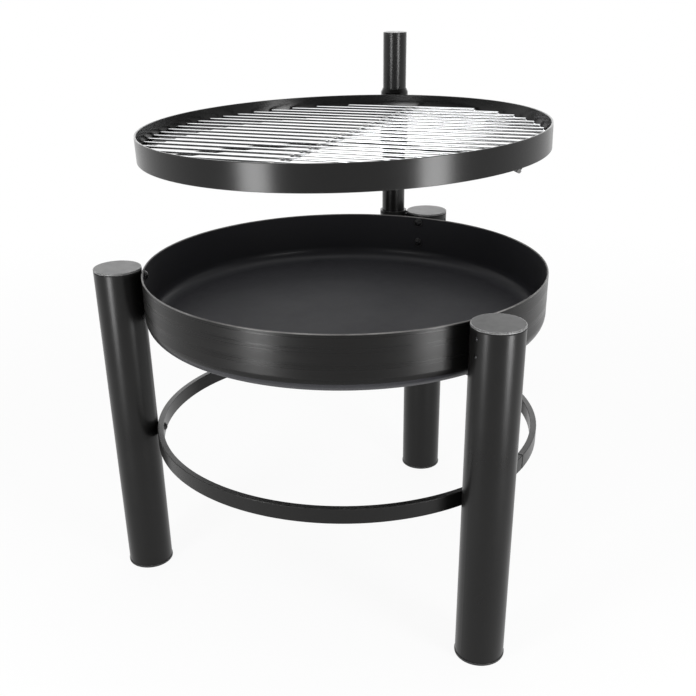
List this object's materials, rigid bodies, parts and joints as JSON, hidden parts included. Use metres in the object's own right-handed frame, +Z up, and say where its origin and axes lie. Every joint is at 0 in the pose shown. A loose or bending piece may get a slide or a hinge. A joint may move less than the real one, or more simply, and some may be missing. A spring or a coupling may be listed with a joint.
{
  "type": "fire bowl grill",
  "caption": "Round steel fire bowl on tube legs with a hoop below, and a swinging, height-set grill ring with a loose wire grate on a post beside one leg.",
  "frame": {"origin": "on the floor, below the middle of the whole outline seen from above", "axes": "+Z up along the legs and the post, +Y to the back where the post stands, +X to the right seen from the front"},
  "size_m": [0.727, 0.7374, 0.87],
  "materials": {
    "black_steel": "satin powder coat",
    "black_plastic": "matte moulded",
    "zinc_steel": "zinc plated",
    "chrome_wire": "polished"
  },
  "bodies": {
    "stand": {"leg_rear": "black_steel", "leg_right": "black_steel", "leg_left": "black_steel", "leg_cap_rear": "black_steel", "leg_cap_right": "black_steel", "leg_cap_left": "black_steel", "foot_plug_rear": "black_plastic", "foot_plug_right": "black_plastic", "foot_plug_left": "black_plastic", "bowl": "black_steel", "lower_ring": "black_steel", "bowl_inserts": "zinc_steel", "bowl_washers": "black_steel", "bowl_bolts": "black_steel", "ring_inserts": "zinc_steel", "ring_bolts": "black_steel", "side_rivets": "zinc_steel", "post_socket": "black_steel", "socket_floor": "black_steel", "socket_welds": "black_steel"},
    "post": {"post_tube": "black_steel", "post_cap": "black_steel", "post_plug": "black_plastic"},
    "carrier": {"sleeve": "black_steel", "neck_plates": "black_steel", "ring_band": "black_steel", "ledge_hoop": "black_steel", "brace_rod": "black_steel", "clamp_nut": "black_steel"},
    "clamp": {"clamp_screw": "zinc_steel", "clamp_bar": "zinc_steel"},
    "grate": {"grate_wires": "chrome_wire", "grate_cross_rod": "chrome_wire"}
  },
  "joints": [
    {"name": "post_swivel", "type": "hinge", "parent": "stand", "child": "post", "pos_m": [0.13441, 0.30954, 0.4], "axis": [0, 0, 1], "continuous": true},
    {"name": "ring_height", "type": "slide", "parent": "post", "child": "carrier", "axis": [0, 0, 1], "range_m": [-0.122, 0.09]},
    {"name": "clamp_turn", "type": "hinge", "parent": "carrier", "child": "clamp", "pos_m": [0.13441, 0.30954, 0.709], "axis": [0.2733, 0.9619, 0], "range_deg": [0, 720]},
    {"name": "grate_lift", "type": "slide", "parent": "carrier", "child": "grate", "axis": [-0.0227, 0, 0.9997], "range_m": [0, 0.06]}
  ]
}
